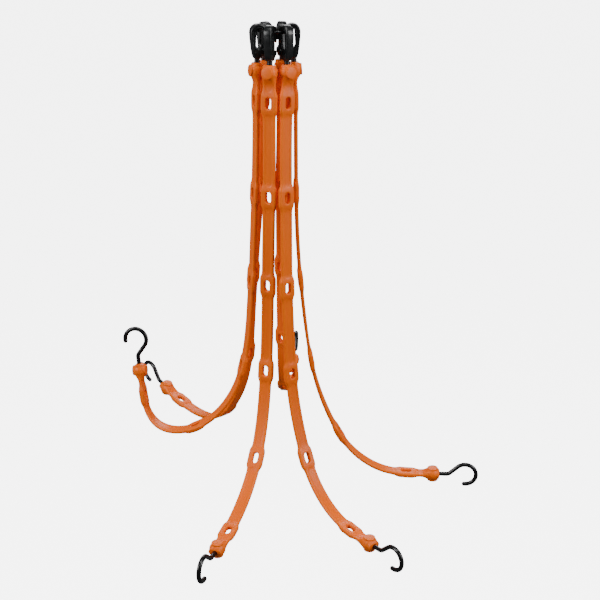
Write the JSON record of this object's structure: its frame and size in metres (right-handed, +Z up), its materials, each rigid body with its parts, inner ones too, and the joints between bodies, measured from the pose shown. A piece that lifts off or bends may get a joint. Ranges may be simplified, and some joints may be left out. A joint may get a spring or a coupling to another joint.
{
  "type": "cargo net",
  "caption": "Cargo net of moulded elastic straps that hang gathered on one ring: each has a snap clip at the top, eyelet pads down its length and a wire hook at the end.",
  "frame": {"origin": "centre of the gather ring", "axes": "+Z up along the hanging straps, +Y away from the viewer, +X to the viewer's right"},
  "size_m": [0.5886, 0.7139, 0.7789],
  "materials": {
    "elastomer": "satin moulded, bright orange",
    "nylon": "black moulded nylon",
    "coated_wire": "black coated steel wire, semi gloss",
    "ring_steel": "black coated steel, semi gloss"
  },
  "bodies": {
    "net": {"gather_ring": "ring_steel", "strap_front_left": "elastomer", "strap_front_right": "elastomer", "strap_right": "elastomer", "strap_back_right": "elastomer", "strap_back_left": "elastomer", "strap_left": "elastomer", "hook_front_left": "coated_wire", "hook_front_right": "coated_wire", "hook_right": "coated_wire", "hook_back_right": "coated_wire", "hook_back_left": "coated_wire", "hook_left": "coated_wire", "clip_front_left": "nylon", "clip_front_right": "nylon", "clip_right": "nylon", "clip_back_right": "nylon", "clip_back_left": "nylon", "clip_left": "nylon"},
    "gate_front_left": {"gate_front_left": "nylon"},
    "gate_front_right": {"gate_front_right": "nylon"},
    "gate_right": {"gate_right": "nylon"},
    "gate_back_right": {"gate_back_right": "nylon"},
    "gate_back_left": {"gate_back_left": "nylon"},
    "gate_left": {"gate_left": "nylon"}
  },
  "joints": [
    {"name": "gate_swing_front_left", "type": "hinge", "parent": "net", "child": "gate_front_left", "pos_m": [-0.00463, -0.01777, -0.02987], "axis": [0.9135, -0.4069, -0.0031], "range_deg": [0, 35], "stiffness_Nm_per_rad": 0.005, "springref_deg": -28.65},
    {"name": "gate_swing_front_right", "type": "hinge", "parent": "net", "child": "gate_front_right", "pos_m": [0.01172, -0.01389, -0.02992], "axis": [0.8291, 0.559, -0.0037], "range_deg": [0, 35], "stiffness_Nm_per_rad": 0.005, "springref_deg": -28.65},
    {"name": "gate_swing_right", "type": "hinge", "parent": "net", "child": "gate_right", "pos_m": [0.01783, 0.00295, -0.02994], "axis": [-0.053, 0.9985, 0.0115], "range_deg": [0, 35], "stiffness_Nm_per_rad": 0.005, "springref_deg": -28.65},
    {"name": "gate_swing_back_right", "type": "hinge", "parent": "net", "child": "gate_back_right", "pos_m": [0.0077, 0.0166, -0.02991], "axis": [-0.9704, 0.2413, 0.0107], "range_deg": [0, 35], "stiffness_Nm_per_rad": 0.005, "springref_deg": -28.65},
    {"name": "gate_swing_back_left", "type": "hinge", "parent": "net", "child": "gate_back_left", "pos_m": [-0.00999, 0.01564, -0.02987], "axis": [-0.6428, -0.766, -0.0002], "range_deg": [0, 35], "stiffness_Nm_per_rad": 0.005, "springref_deg": -28.65},
    {"name": "gate_swing_left", "type": "hinge", "parent": "net", "child": "gate_left", "pos_m": [-0.01856, -0.00063, -0.02989], "axis": [0.3425, -0.9394, 0.0105], "range_deg": [0, 35], "stiffness_Nm_per_rad": 0.005, "springref_deg": -28.65}
  ]
}
